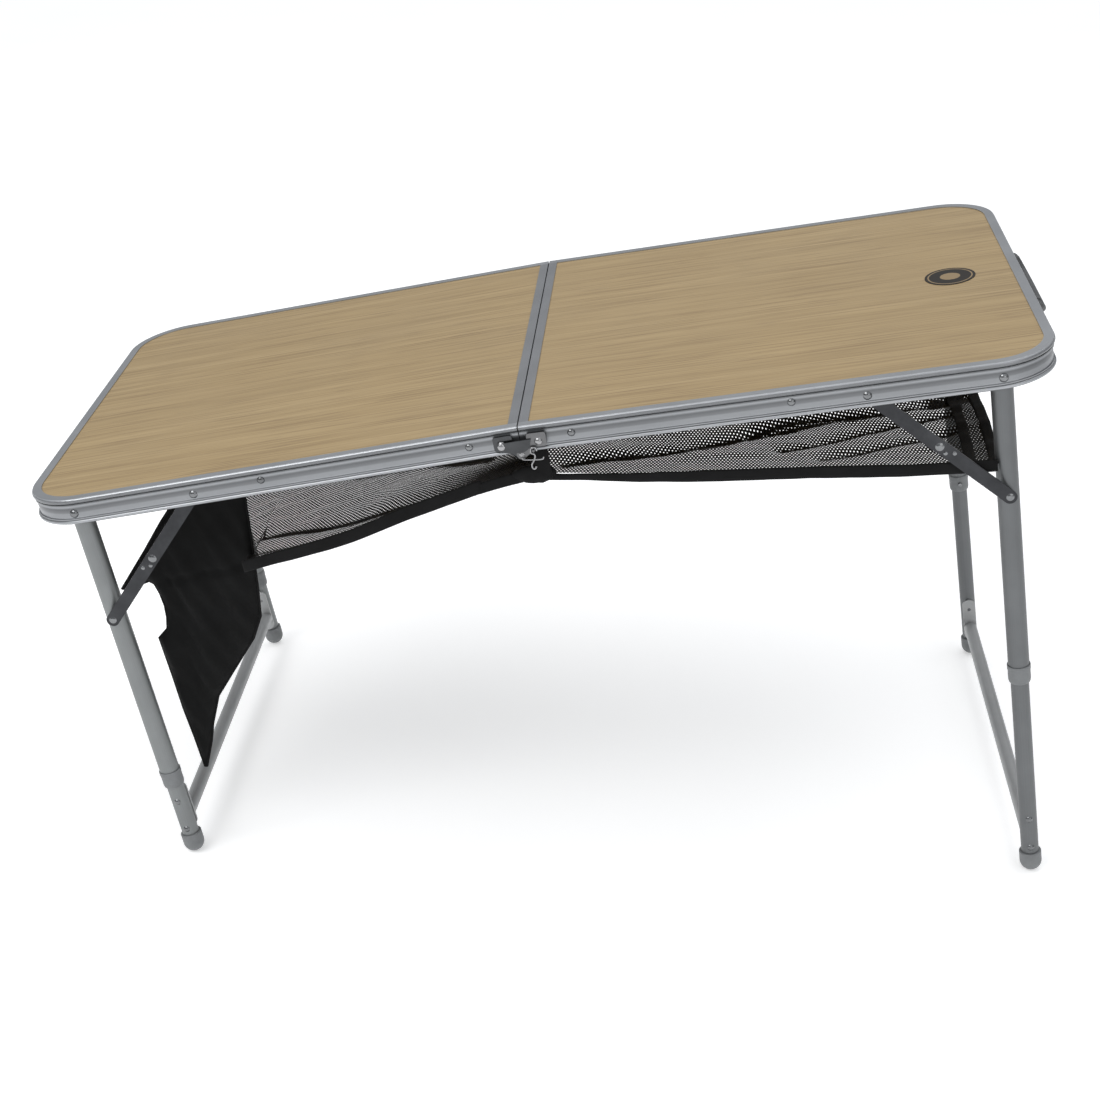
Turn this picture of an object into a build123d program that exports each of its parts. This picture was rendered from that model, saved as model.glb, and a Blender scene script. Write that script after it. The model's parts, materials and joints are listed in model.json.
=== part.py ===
from build123d import *

import os
from math import cos, radians, sin, sqrt

# Folding camp kitchen table: two framed top halves on a centre hinge, four telescopic legs.
# Millimetres, +Z up. The feet stand on z = 0, +X runs to the long-legged end and -Y is the front.
# Each top half is drawn in its own frame: the origin is on the centre hinge's axis, +X runs outward
# to the half's end and +Z is square to the top. The left half is the right one turned half round.

os.makedirs("parts", exist_ok=True)

# The stance of the open table
hinge_x = -19.9
hinge_height = 572.2
tilt = {"left": 10.29, "right": 8.40}

# The top halves
half_length = 600.0
half_width = 300.0
rim_height = 32.0
corner_radius = 72.0
end_gap = 0.2
top_z = 32.5
rim_base_z = top_z - rim_height
lip_width = 11.0
lip_thickness = 1.2
wall_inside = 3.0
channel_depth = 1.4
channel_margin = 2.0
rib_places = ((23.9, 2.8), (6.2, 1.6))
bead_radius = 3.3
bead_inset = 1.8
low_bead_radius = 2.3
low_bead_inset = 0.7
panel_thickness = 3.3
panel_inset = 5.5
rail_width = 11.0
rail_wall = 2.0
panel_rivet_places = ((305.0, 17.6), (58.5, 16.0))
fit_gap = 0.3

# The legs
pivot_x = half_length - 65.0
pivot_z = 13.5
leg_inset = 24.0
tube_wall = 1.2
upper_radius = 12.5
lower_radius = 10.75
upper_top = 6.0
cross_tube_radius = 10.0
cross_tube_wall = 1.4
upper_end_depth = 410.0
lower_length = 316.0
coupler_radius = 13.8
coupler_start_depth = 392.0
coupler_length = 24.0
coupler_lip = 5.0
foot_radius = 13.5
foot_length = 28.0
foot_floor = 8.0
button_depth = 404.0
button_radius = 3.0
button_reach = 15.5
button_root = 3.0
button_drop = 38.0
spring_width = 8.0
spring_length = 30.0
spring_thickness = 1.0
crossbar_radius = 9.2
crossbar_height = 50.0
tab_thickness = 3.0
tab_width = 18.0
tab_length = 66.0
tab_height = 63.0
rivet_heights = (38.0, 80.0)

# The folding stays
stay_reach = 147.0
bar_length = stay_reach / sqrt(2)
bar_width = 16.0
bar_thickness = 1.5
upper_bar_inset = 4.6
lower_bar_inset = 7.4

# Rivets and fits
running_gap = 0.05
rivet_radius = 2.5
pivot_radius = 3.0
rivet_head_radius = 4.6
rivet_head_height = 2.2

# The centre hinge, outside the rims
leaf_skin = half_width + 1.6
leaf_thickness = 1.8
leaf_centre_x = 19.0
leaf_length = 22.0
leaf_base_z = 7.0
leaf_top_z = 24.0
hinge_rivet_x = 21.0
hinge_rivet_z = 13.5
eye_radius = 6.0
hinge_pin_radius = 2.0
web_outline = ((0, 6.0), (0, -6.0), (14.0, -22.0), (22.0, -12.0), (10.0, 0))
stud_radius = 1.5
stud_length = 4.2
link_x = 14.0
link_z = 4.0
link_eye_radius = 3.5
link_thickness = 2.0
link_wire = 2.5
loop_drop = 15.0
loop_length = 24.0
loop_width = 9.0

# The carrying handle
handle_reach = 90.0
handle_stand = 6.0
handle_z = 15.0
handle_droop = 66.0
handle_pin_radius = 2.0
handle_pin_length = 9.0
handle_depth = 24.0
handle_thickness = 8.0
handle_width = 11.0
handle_bend = 12.0
handle_eye_length = 10.0
bracket_height = 14.0
bracket_width = 13.5
bracket_thickness = 3.4
knuckle_radius = 3.6
knuckle_length = 14.0

# The soft parts
net_inset = 14.0
net_thickness = 3.0
notch_depth = 200.0
strap_x = 22.0
strap_inset = 12.0
strap_width = 17.0
strap_thickness = 1.5
strap_length = 40.0
bag_inset = 45.0
bag_thickness = 30.0

# The printed disc
badge_x = half_length - 84.0
badge_y = 4.0
badge_radius = 30.5
badge_thickness = 0.5


def place(frame, origin, z_dir, x_dir=(1, 0, 0)):
    """A plane given in a half's own frame, where that half stands."""
    return Plane(frame.location * Plane(origin=origin, x_dir=x_dir, z_dir=z_dir).location)


def save(piece, name):
    """Label a finished piece and write it as a STEP file."""
    piece.part.label = name
    export_step(piece.part, f"parts/{name}.step")


def add_rivet(seat, length, shank=rivet_radius, head=rivet_head_radius, height=rivet_head_height):
    """Add a domed rivet to the open part: its head stands on the seat, its shank runs behind it."""
    with BuildSketch(Plane(seat.location * Plane.XZ.location)) as profile:
        with BuildLine():
            dome = ThreePointArc((0, height), (head * 0.72, height * 0.66), (head, 0))
            Polyline(dome @ 1, (shank, 0), (shank, -length), (0, -length), dome @ 0)
        make_face()
    revolve(profile.sketch, axis=Axis(seat.origin, seat.z_dir))


def rim_section():
    """Fill the open sketch with the rim's section: X is outward from the rim line and Y is up."""
    with Locations((-lip_width / 2, top_z - lip_thickness / 2)):
        Rectangle(lip_width, lip_thickness)
    with Locations((-bead_inset, top_z - bead_radius)):
        Circle(bead_radius)
    with Locations((-(wall_inside + channel_depth) / 2, (top_z + rim_base_z) / 2)):
        Rectangle(wall_inside - channel_depth, rim_height - 2 * channel_margin)
    for rib_z, rib_width in rib_places:
        with Locations((-wall_inside / 2, rib_z)):
            Rectangle(wall_inside, rib_width)
    with Locations((-low_bead_inset, rim_base_z + low_bead_radius)):
        Circle(low_bead_radius)


def straight_end_outline(length, width, radius, start):
    """Draw a half's outline in the open line: straight sides, two round corners at the end."""
    front = Line((start, -width), (length - radius, -width))
    corner_1 = TangentArc(front @ 1, (length, radius - width), tangent=(1, 0))
    end = Line(corner_1 @ 1, (length, width - radius))
    corner_2 = TangentArc(end @ 1, (length - radius, width), tangent=(0, 1))
    Line(corner_2 @ 1, (start, width))


def make_top_half(side, frame):
    """The wooden panel, the bent rim, the centre rail and the rivets of one top half."""
    with BuildPart() as panel:
        with BuildSketch(frame.offset(top_z - lip_thickness - panel_thickness)):
            with BuildLine():
                straight_end_outline(half_length - panel_inset, half_width - panel_inset,
                                     corner_radius - panel_inset, end_gap + rail_wall)
                Line((end_gap + rail_wall, half_width - panel_inset),
                     (end_gap + rail_wall, panel_inset - half_width))
            make_face()
        extrude(amount=panel_thickness)
    save(panel, f"panel_{side}")

    stay_pivot_x = pivot_x - stay_reach
    pin_seats = [(pivot_x, pivot_z, pivot_radius), (stay_pivot_x, pivot_z, rivet_radius)]
    pin_seats += [(x, z, rivet_radius) for x, z in panel_rivet_places]
    side_run = half_length - corner_radius - end_gap
    end_run = 2 * (half_width - corner_radius)
    corner_x = half_length - corner_radius
    corner_y = half_width - corner_radius
    runs = [((end_gap, -half_width, 0), (0, -1, 0), side_run),
            ((half_length, -corner_y, 0), (1, 0, 0), end_run),
            ((corner_x, half_width, 0), (0, 1, 0), side_run)]
    corners = [((corner_x, -half_width, 0), (0, -1, 0), (corner_x, -corner_y, 0)),
               ((half_length, corner_y, 0), (1, 0, 0), (corner_x, corner_y, 0))]
    with BuildPart() as rim:
        for start, outward, length in runs:
            with BuildSketch(place(frame, start, (outward[1], -outward[0], 0), outward)):
                rim_section()
            extrude(amount=-length)
        for start, outward, centre in corners:
            with BuildSketch(place(frame, start, (outward[1], -outward[0], 0), outward)):
                rim_section()
            revolve(axis=Axis(frame.from_local_coords(centre), frame.z_dir), revolution_arc=90)
        for x, z, radius in pin_seats:
            with BuildSketch(place(frame, (x, -half_width - 5, z), (0, 1, 0))):
                Circle(radius)
            extrude(amount=2 * half_width + 10, mode=Mode.SUBTRACT)
    save(rim, f"rim_{side}")

    bead_base = top_z - 2 * bead_radius
    with BuildPart() as rail:
        low_end = half_width - wall_inside
        with BuildSketch(place(frame, (0, low_end, 0), (0, -1, 0))):
            with Locations((end_gap + rail_wall / 2, (bead_base + rim_base_z) / 2)):
                Rectangle(rail_wall, bead_base - rim_base_z)
            with Locations((end_gap + rail_width / 2, rim_base_z + lip_thickness / 2)):
                Rectangle(rail_width, lip_thickness)
        extrude(amount=2 * low_end)
        high_end = half_width - lip_width
        with BuildSketch(place(frame, (0, high_end, 0), (0, -1, 0))):
            with Locations((end_gap + rail_wall / 2, (top_z + bead_base) / 2)):
                Rectangle(rail_wall, top_z - bead_base)
            with Locations((end_gap + rail_width / 2, top_z - lip_thickness / 2)):
                Rectangle(rail_width, lip_thickness)
        extrude(amount=2 * high_end)
    save(rail, f"centre_rail_{side}")

    channel_face = half_width - channel_depth
    with BuildPart() as panel_rivets:
        for end in (-1, 1):
            for x, z in panel_rivet_places:
                seat = place(frame, (x, end * channel_face, z), (0, end, 0))
                add_rivet(seat, wall_inside - channel_depth)
    save(panel_rivets, f"panel_rivets_{side}")

    with BuildPart() as leg_pivots:
        for end in (-1, 1):
            seat = place(frame, (pivot_x, end * channel_face, pivot_z), (0, end, 0))
            add_rivet(seat, leg_inset + upper_radius, shank=pivot_radius, head=5.2, height=2.6)
    save(leg_pivots, f"leg_pivots_{side}")

    with BuildPart() as stay_pivots:
        for end in (-1, 1):
            seat = place(frame, (stay_pivot_x, end * channel_face, pivot_z), (0, end, 0))
            add_rivet(seat, upper_bar_inset + bar_thickness - channel_depth, head=5.0)
    save(stay_pivots, f"stay_pivots_{side}")


def make_upper_legs(side, frame):
    """The two upper leg tubes, the cross tube at their pivots and their collars."""
    for end, face in leg_faces[side].items():
        y = end * (half_width - leg_inset)
        hole_depths = (button_depth, button_depth - extension)
        with BuildPart() as tube:
            with BuildSketch(place(frame, (pivot_x, y, pivot_z + upper_top), (0, 0, -1))):
                Circle(upper_radius)
                Circle(upper_radius - tube_wall, mode=Mode.SUBTRACT)
            extrude(amount=upper_end_depth - top_z + pivot_z + upper_top)
            with BuildSketch(place(frame, (pivot_x, y, pivot_z), (0, 1, 0))):
                Circle(pivot_radius + running_gap)
            extrude(amount=2 * upper_radius, both=True, mode=Mode.SUBTRACT)
            for depth in hole_depths:
                with BuildSketch(place(frame, (pivot_x, y, top_z - depth), (0, -end, 0))):
                    Circle(button_radius + fit_gap)
                extrude(amount=2 * upper_radius, mode=Mode.SUBTRACT)
        save(tube, f"upper_tube_{face}_{side}")

    with BuildPart() as cross_tube:
        reach = half_width - leg_inset - upper_radius
        with BuildSketch(place(frame, (pivot_x, -reach, pivot_z), (0, 1, 0))):
            Circle(cross_tube_radius)
            Circle(cross_tube_radius - cross_tube_wall, mode=Mode.SUBTRACT)
        extrude(amount=2 * reach)
    save(cross_tube, f"cross_tube_{side}")

    with BuildPart() as collars:
        for end in (-1, 1):
            y = end * (half_width - leg_inset)
            with BuildSketch(place(frame, (pivot_x, y, top_z - coupler_start_depth), (0, 0, -1))):
                Circle(coupler_radius)
                Circle(upper_radius, mode=Mode.SUBTRACT)
            extrude(amount=coupler_length - coupler_lip)
            lip_depth = coupler_start_depth + coupler_length - coupler_lip
            with BuildSketch(place(frame, (pivot_x, y, top_z - lip_depth), (0, 0, -1))):
                Circle(coupler_radius)
                Circle(lower_radius + fit_gap, mode=Mode.SUBTRACT)
            extrude(amount=coupler_lip)
            with BuildSketch(place(frame, (pivot_x, y, top_z - button_depth), (0, -end, 0))):
                Circle(button_radius + fit_gap)
            extrude(amount=2 * upper_radius, mode=Mode.SUBTRACT)
    save(collars, f"leg_collars_{side}")


def make_lower_legs(side, frame):
    """The sliding lower tubes, their crossbar, feet, rivets and snap buttons."""
    sole_z = pivot_z - foot_distance[side] - foot_radius
    tube_base_z = sole_z + foot_floor
    button_z = tube_base_z + lower_length - button_drop
    bar_z = sole_z + crossbar_height
    for end, face in leg_faces[side].items():
        y = end * (half_width - leg_inset)
        with BuildPart() as tube:
            with BuildSketch(place(frame, (pivot_x, y, tube_base_z), (0, 0, 1))):
                Circle(lower_radius)
                Circle(lower_radius - tube_wall, mode=Mode.SUBTRACT)
            extrude(amount=lower_length)
            with BuildSketch(place(frame, (pivot_x, y, button_z), (0, -end, 0))):
                Circle(button_radius + running_gap)
            extrude(amount=2 * lower_radius, mode=Mode.SUBTRACT)
            for height in rivet_heights:
                with BuildSketch(place(frame, (pivot_x, y, sole_z + height), (0, end, 0))):
                    Circle(rivet_radius)
                extrude(amount=2 * lower_radius, both=True, mode=Mode.SUBTRACT)
        save(tube, f"lower_tube_{face}_{side}")

        with BuildPart() as snap_button:
            with BuildSketch(place(frame, (pivot_x, y - end * button_root, button_z), (0, -end, 0))):
                Circle(button_radius)
            extrude(amount=button_reach - button_root)
            inward = Axis((0, 0, 0), (0, -1 if face == "back" else 1, 0))
            fillet(snap_button.faces().sort_by(inward).last.edges(), 1.0)
            spring_y = y - end * (button_root - spring_thickness)
            with BuildSketch(place(frame, (pivot_x, spring_y, button_z), (0, -end, 0))):
                Rectangle(spring_width, spring_length)
            extrude(amount=spring_thickness)
        save(snap_button, f"snap_button_{face}_{side}")

    with BuildPart() as crossbar:
        tab_y = half_width - leg_inset - lower_radius - tab_thickness
        with BuildSketch(place(frame, (pivot_x, -tab_y - 1, bar_z), (0, 1, 0))):
            Circle(crossbar_radius)
        extrude(amount=2 * tab_y + 2)
        for end in (-1, 1):
            with BuildSketch(place(frame, (pivot_x, end * tab_y, sole_z + tab_height), (0, end, 0))):
                SlotOverall(tab_length, tab_width, rotation=90)
            extrude(amount=tab_thickness)
            for height in rivet_heights:
                with BuildSketch(place(frame, (pivot_x, end * tab_y, sole_z + height), (0, end, 0))):
                    Circle(rivet_radius)
                extrude(amount=tab_thickness, both=True, mode=Mode.SUBTRACT)
    save(crossbar, f"crossbar_{side}")

    with BuildPart() as crossbar_rivets:
        for end in (-1, 1):
            seat_y = end * (half_width - leg_inset + lower_radius)
            for height in rivet_heights:
                seat = place(frame, (pivot_x, seat_y, sole_z + height), (0, end, 0))
                add_rivet(seat, 2 * lower_radius + tab_thickness, head=4.2, height=1.9)
    save(crossbar_rivets, f"crossbar_rivets_{side}")

    with BuildPart() as feet:
        for end in (-1, 1):
            foot_axis = place(frame, (pivot_x, end * (half_width - leg_inset), sole_z), (0, -1, 0))
            with BuildSketch(foot_axis):
                with BuildLine():
                    sole = ThreePointArc((0, 0), (foot_radius * sin(radians(45)),
                                                  foot_radius * (1 - cos(radians(45)))),
                                         (foot_radius, foot_radius))
                    Polyline(sole @ 1, (foot_radius, foot_length - 1), (foot_radius - 1, foot_length),
                             (lower_radius, foot_length), (lower_radius, foot_floor),
                             (0, foot_floor), sole @ 0)
                make_face()
            revolve(axis=Axis(foot_axis.origin, foot_axis.y_dir))
    save(feet, f"feet_{side}")


def make_stays(side, frame):
    """The two folding stays of one leg frame: upper bars, lower bars and their rivets."""
    knee_x = pivot_x - stay_reach / 2
    knee_z = pivot_z - stay_reach / 2
    bars = {"upper": ((pivot_x - stay_reach, pivot_z), (knee_x, knee_z), upper_bar_inset),
            "lower": ((knee_x, knee_z), (pivot_x, pivot_z - stay_reach), lower_bar_inset)}
    for name, (start, finish, inset) in bars.items():
        middle = ((start[0] + finish[0]) / 2, (start[1] + finish[1]) / 2)
        with BuildPart() as stay:
            for end in (-1, 1):
                bar_face = place(frame, (middle[0], end * (half_width - inset), middle[1]),
                                 (0, -end, 0), (1, 0, -1))
                with BuildSketch(bar_face):
                    SlotCenterToCenter(bar_length, bar_width)
                    with Locations((-bar_length / 2, 0), (bar_length / 2, 0)):
                        Circle(rivet_radius + running_gap, mode=Mode.SUBTRACT)
                extrude(amount=bar_thickness)
        save(stay, f"{name}_stays_{side}")

    with BuildPart() as knee_rivets:
        for end in (-1, 1):
            seat = place(frame, (knee_x, end * (half_width - upper_bar_inset), knee_z), (0, end, 0))
            add_rivet(seat, lower_bar_inset - upper_bar_inset + bar_thickness, head=5.0, height=1.3)
    save(knee_rivets, f"knee_rivets_{side}")

    with BuildPart() as stay_rivets:
        for end in (-1, 1):
            face_y = end * (half_width - lower_bar_inset)
            seat = place(frame, (pivot_x, face_y, pivot_z - stay_reach), (0, end, 0))
            shank = leg_inset - upper_radius - fit_gap - lower_bar_inset
            add_rivet(seat, shank, head=4.5, height=1.0)
    save(stay_rivets, f"stay_rivets_{side}")


def make_hinge(side, frame):
    """The hinge leaves of one half, outside the rim at the front and the back, and their rivets."""
    # The left leaf's eye lies against the rim and the right leaf's eye lies outside it.
    eye_start = leaf_skin if side == "left" else leaf_skin + leaf_thickness + fit_gap
    with BuildPart() as leaves:
        for end in (-1, 1):
            with BuildSketch(place(frame, (0, end * half_width, 0), (0, end, 0), (1, 0, 0))):
                with Locations((leaf_centre_x, -end * (leaf_top_z + leaf_base_z) / 2)):
                    RectangleRounded(leaf_length, leaf_top_z - leaf_base_z, 3)
            extrude(amount=eye_start + leaf_thickness - half_width)
            with BuildSketch(place(frame, (0, end * eye_start, 0), (0, end, 0), (1, 0, 0))):
                Circle(eye_radius)
                with BuildLine():
                    Polyline(*[(x, end * z) for x, z in web_outline], close=True)
                make_face()
                Circle(hinge_pin_radius + running_gap, mode=Mode.SUBTRACT)
            extrude(amount=leaf_thickness)
            with BuildSketch(place(frame, (hinge_rivet_x, end * half_width, hinge_rivet_z), (0, end, 0))):
                Circle(rivet_radius)
            extrude(amount=eye_start + leaf_thickness - half_width, mode=Mode.SUBTRACT)
            if side == "right":
                stud_root = (link_x, end * (eye_start + leaf_thickness), link_z)
                with BuildSketch(place(frame, stud_root, (0, end, 0))):
                    Circle(stud_radius)
                extrude(amount=stud_length)
    save(leaves, f"hinge_leaves_{side}")

    with BuildPart() as hinge_rivets:
        for end in (-1, 1):
            seat_y = end * (eye_start + leaf_thickness)
            seat = place(frame, (hinge_rivet_x, seat_y, hinge_rivet_z), (0, end, 0))
            add_rivet(seat, eye_start + leaf_thickness - half_width)
    save(hinge_rivets, f"hinge_rivets_{side}")


def make_net(side, frame, points, notch_x=None):
    """The storage net under one half: one thin sheet, cut back at the front beyond notch_x."""
    with BuildPart() as net:
        with BuildSketch(place(frame, (0, half_width - net_inset, 0), (0, -1, 0))):
            with BuildLine():
                upper = Spline(*[(x, top_z - depth) for x, depth in points])
                lower = Spline(*[(x, top_z - depth - net_thickness) for x, depth in points])
                Line(upper @ 0, lower @ 0)
                Line(upper @ 1, lower @ 1)
            make_face()
        extrude(amount=2 * (half_width - net_inset))
        if notch_x is not None:
            notch_y = half_width - bag_inset - bag_thickness - fit_gap
            with BuildSketch(place(frame, (notch_x, half_width, rim_base_z), (0, 0, -1))):
                Rectangle(half_length, half_width - notch_y, align=(Align.MIN, Align.MIN))
            extrude(amount=notch_depth, mode=Mode.SUBTRACT)
    save(net, f"net_{side}")


# Where each half stands, and how far its legs have to reach to stand on the floor
frames = {}
foot_distance = {}
for side, turn in (("left", -1), ("right", 1)):
    slope = radians(tilt[side])
    frames[side] = Plane(
        origin=(hinge_x, 0, hinge_height),
        x_dir=(turn * cos(slope), 0, turn * sin(slope)),
        z_dir=(-sin(slope), 0, cos(slope)),
    )
    pivot_height = hinge_height + turn * pivot_x * sin(slope) + pivot_z * cos(slope)
    foot_distance[side] = (pivot_height - foot_radius) / cos(slope)
extension = foot_distance["right"] - foot_distance["left"]
# The front is each half's own -Y side on the right and its +Y side on the left.
leg_faces = {"left": {1: "front", -1: "back"}, "right": {-1: "front", 1: "back"}}

for side, frame in frames.items():
    make_top_half(side, frame)
    make_upper_legs(side, frame)
    make_lower_legs(side, frame)
    make_stays(side, frame)
    make_hinge(side, frame)

left_net_line = [(4, 71), (62, 78), (164, 106), (230, 122), (344, 128), (518, 150)]
make_net("left", frames["left"], left_net_line, notch_x=344.0)
make_net("right", frames["right"], [(4, 71), (126, 89), (306, 110), (418, 123), (518, 131)])

pin_head_y = leaf_skin + 2 * leaf_thickness + fit_gap
with BuildPart() as hinge_pins:
    for end in (-1, 1):
        seat = Plane(origin=(hinge_x, end * pin_head_y, hinge_height), z_dir=(0, end, 0))
        add_rivet(seat, pin_head_y - leaf_skin - 0.2, shank=hinge_pin_radius, head=3.4, height=1.4)
save(hinge_pins, "hinge_pins")

link_y = pin_head_y + 1.8
for end, face in leg_faces["right"].items():
    with BuildPart() as lock_link:
        with BuildSketch(place(frames["right"], (link_x, end * link_y, link_z), (0, end, 0))):
            Circle(link_eye_radius)
            with Locations((0, end * loop_drop)):
                SlotOverall(loop_length, loop_width, rotation=90)
                SlotOverall(loop_length - 2 * link_wire, loop_width - 2 * link_wire, rotation=90,
                            mode=Mode.SUBTRACT)
            Circle(stud_radius + running_gap, mode=Mode.SUBTRACT)
        extrude(amount=link_thickness)
    save(lock_link, f"lock_link_{face}")

handle_x = half_length + handle_stand
right = frames["right"]
with BuildPart() as handle_brackets:
    for end in (-1, 1):
        bracket_root = (half_length - channel_depth, end * handle_reach, handle_z)
        with BuildSketch(place(right, bracket_root, (1, 0, 0), (0, 1, 0))):
            RectangleRounded(bracket_height, bracket_width, 2)
        extrude(amount=bracket_thickness)
        with BuildSketch(place(right, (handle_x, end * handle_reach, handle_z), (0, 1, 0))):
            Circle(knuckle_radius)
            Rectangle(2 * knuckle_radius + 0.8, knuckle_radius)
        extrude(amount=knuckle_length / 2, both=True)
        pin_y = end * (handle_reach - knuckle_length / 2)
        with BuildSketch(place(right, (handle_x, pin_y, handle_z), (0, -end, 0))):
            Circle(handle_pin_radius)
        extrude(amount=handle_pin_length)
save(handle_brackets, "handle_brackets")

with BuildPart() as handle:
    droop = radians(handle_droop)
    handle_plane = place(right, (handle_x, 0, handle_z), (sin(droop), 0, cos(droop)), (0, 1, 0))
    eye_y = handle_reach - knuckle_length / 2 - 2 * running_gap - fit_gap
    # Half the handle's line, from one eye down to its straight grip
    handle_half = [(eye_y - 6, 0), (eye_y - 9, -14), (eye_y - 37, -handle_depth)]
    with BuildLine(handle_plane) as handle_line:
        FilletPolyline(*[(-y, drop) for y, drop in handle_half], *reversed(handle_half), radius=handle_bend)
    with BuildSketch(Plane(handle_line.line @ 0, z_dir=handle_line.line % 0, x_dir=handle_plane.z_dir)):
        Ellipse(handle_width / 2, handle_thickness / 2)
    sweep()
    for end in (-1, 1):
        with BuildSketch(place(right, (handle_x, end * eye_y, handle_z), (0, -end, 0))):
            Circle(handle_width / 2)
        extrude(amount=handle_eye_length)
        with BuildSketch(place(right, (handle_x, end * (eye_y + 2), handle_z), (0, -end, 0))):
            Circle(handle_pin_radius + running_gap)
        extrude(amount=handle_eye_length + 2, mode=Mode.SUBTRACT)
save(handle, "handle")

with BuildPart() as net_straps:
    for end in (-1, 1):
        strap_y = end * (half_width - strap_inset)
        with BuildSketch(place(right, (strap_x, strap_y, rim_base_z), (0, 0, -1))):
            Rectangle(strap_width, strap_thickness)
        extrude(amount=strap_length)
save(net_straps, "net_straps")

with BuildPart() as side_bag:
    with BuildSketch(place(frames["left"], (0, half_width - bag_inset, 0), (0, -1, 0))):
        with BuildLine():
            Polyline((421, -1.5), (459, -40), (489, -73), (534, -119), (506, -115), (497, -114),
                     (491, -117), (489, -130), (487, -150), (489, -167), (493, -182), (507, -192),
                     (506, -296), (503, -386), (483, -348), (474, -323), (456, -285), (425, -251),
                     (389, -212), (372, -183), (365, -145), (355, -78), (345, -1.5), close=True)
        make_face()
    extrude(amount=bag_thickness)
save(side_bag, "side_bag")

with BuildPart() as badge:
    with BuildSketch(place(right, (badge_x, badge_y, top_z - lip_thickness), (0, 0, 1))):
        Circle(badge_radius)
    extrude(amount=badge_thickness)
save(badge, "badge")
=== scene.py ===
import json
import math

import bpy
import bmesh
from mathutils import Matrix, Vector, geometry, noise


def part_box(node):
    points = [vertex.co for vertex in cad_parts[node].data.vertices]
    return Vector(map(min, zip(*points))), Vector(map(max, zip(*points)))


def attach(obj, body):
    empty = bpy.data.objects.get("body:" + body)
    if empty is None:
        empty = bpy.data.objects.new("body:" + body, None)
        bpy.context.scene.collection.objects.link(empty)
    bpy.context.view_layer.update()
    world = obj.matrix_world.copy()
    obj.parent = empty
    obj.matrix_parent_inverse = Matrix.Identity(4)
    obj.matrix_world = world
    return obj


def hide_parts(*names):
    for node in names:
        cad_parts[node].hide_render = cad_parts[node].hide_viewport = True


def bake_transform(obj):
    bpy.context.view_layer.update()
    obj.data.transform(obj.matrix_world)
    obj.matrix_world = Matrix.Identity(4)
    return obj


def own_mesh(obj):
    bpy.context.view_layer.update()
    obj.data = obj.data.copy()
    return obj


# Looks of the folding camp kitchen table. Metres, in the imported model's own frame.
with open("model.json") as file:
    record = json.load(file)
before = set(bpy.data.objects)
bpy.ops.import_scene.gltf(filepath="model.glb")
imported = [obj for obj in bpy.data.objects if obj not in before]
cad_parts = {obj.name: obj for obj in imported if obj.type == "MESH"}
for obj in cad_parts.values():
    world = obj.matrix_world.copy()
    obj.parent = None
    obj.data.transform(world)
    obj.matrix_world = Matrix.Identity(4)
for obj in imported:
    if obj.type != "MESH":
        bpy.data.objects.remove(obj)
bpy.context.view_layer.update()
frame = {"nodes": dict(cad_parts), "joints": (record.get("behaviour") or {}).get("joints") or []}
nodes = frame["nodes"]
joints = {joint["name"]: joint for joint in frame["joints"]}

SIDES = ("left", "right")
FACES = ("front", "back")
FACE_SIGN = {"front": -1, "back": 1}
TOP_Z = 0.0325            # the top's height above the hinge axis, in a half's own frame
HALF_WIDTH = 0.300
LEG_X = 0.535             # the legs' axes, out from the hinge
LEG_INSET = 0.024         # and in from the front and back edges
NET_FRONT = 0.014         # the net's hems, in from the front edge
NET_BACK = 0.586
HINGE = Vector(joints["centre_fold"]["pos_m"])


def half_axes(side):
    """Outward, across and up for one half, from the joints that lie along them."""
    up = Vector(joints[f"{side}_leg_slide"]["axis"]).normalized()
    across = Vector(joints[f"{side}_leg_fold"]["axis"]).normalized()
    return across.cross(up), across, up


AXES = {side: half_axes(side) for side in SIDES}
BACK_SIGN = {"left": -1, "right": 1}


def at(side, x, q, depth):
    """The point x out from the hinge, q back from the front edge and depth below the top."""
    outward, across, up = AXES[side]
    return (HINGE + outward * x + across * (BACK_SIGN[side] * (q - HALF_WIDTH))
            + up * (TOP_Z - depth))


def back_of(side):
    """The direction from the front edge to the back one."""
    return AXES[side][1] * BACK_SIGN[side]


# ---------------------------------------------------------------- materials

def new_material(name):
    material = bpy.data.materials.new(name)
    material.use_nodes = True
    tree = material.node_tree
    return material, tree, tree.nodes["Principled BSDF"]


def node(tree, kind, **values):
    made = tree.nodes.new(kind)
    for key, value in values.items():
        setattr(made, key, value)
    return made


def link(tree, source, target):
    tree.links.new(source, target)


def mapped(tree, scale):
    """Object coordinates, scaled."""
    coords = node(tree, "ShaderNodeTexCoord")
    mapping = node(tree, "ShaderNodeMapping")
    mapping.inputs["Scale"].default_value = scale
    link(tree, coords.outputs["Object"], mapping.inputs["Vector"])
    return mapping.outputs["Vector"]


def noise_of(tree, vector, scale=1.0, detail=2.0, roughness=0.5):
    made = node(tree, "ShaderNodeTexNoise")
    made.inputs["Scale"].default_value = scale
    made.inputs["Detail"].default_value = detail
    made.inputs["Roughness"].default_value = roughness
    link(tree, vector, made.inputs["Vector"])
    return made.outputs["Fac"]


def ramp(tree, factor, stops):
    """A colour ramp; stops are (position, colour or grey)."""
    made = node(tree, "ShaderNodeValToRGB")
    elements = made.color_ramp.elements
    while len(elements) < len(stops):
        elements.new(0.5)
    for element, (position, colour) in zip(elements, stops):
        element.position = position
        element.color = (*colour, 1) if hasattr(colour, "__len__") else (colour,) * 3 + (1,)
    link(tree, factor, made.inputs["Fac"])
    return made.outputs["Color"]


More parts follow.
